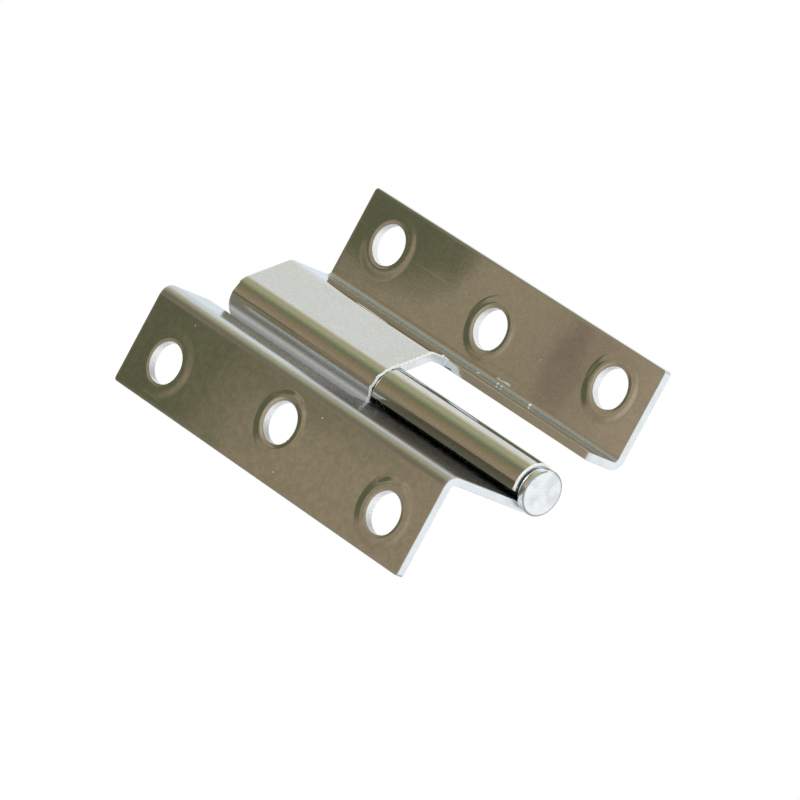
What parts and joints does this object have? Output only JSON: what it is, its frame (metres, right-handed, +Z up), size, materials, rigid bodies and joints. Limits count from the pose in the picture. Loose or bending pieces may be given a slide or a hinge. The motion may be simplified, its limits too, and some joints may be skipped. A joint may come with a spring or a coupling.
{
  "type": "lift-off hinge",
  "caption": "Cranked lift-off hinge: two folded, nickel-plated steel leaves with curled knuckles. One leaf turns on the headed pin of the other and lifts off it.",
  "frame": {"origin": "on the back of the pin leaf's flange, the face that is screwed on, half-way up the leaf and 2 mm from the flange's free edge", "axes": "+Z up along the pin, away from its head, which is the way the socket leaf lifts off; +X out of the back of the pin leaf's flange; +Y from that flange's bend towards its free edge"},
  "size_m": [0.023, 0.0307, 0.0516],
  "materials": {
    "leaf_plate": "polished nickel plate on folded sheet steel",
    "pin_metal": "duller nickel plate on a turned steel pin"
  },
  "bodies": {
    "pin_leaf": {"pin_leaf": "leaf_plate"},
    "pin": {"hinge_pin": "pin_metal"},
    "socket_leaf": {"socket_leaf": "leaf_plate"}
  },
  "joints": [
    {"name": "leaf_swing", "type": "hinge", "parent": "pin_leaf", "child": "pin", "pos_m": [0.01145, -0.01185, 0], "axis": [0, 0, 1], "range_deg": [-130, 180]},
    {"name": "lift_off", "type": "slide", "parent": "pin", "child": "socket_leaf", "axis": [0, 0, 1], "range_m": [0, 0.026]}
  ]
}
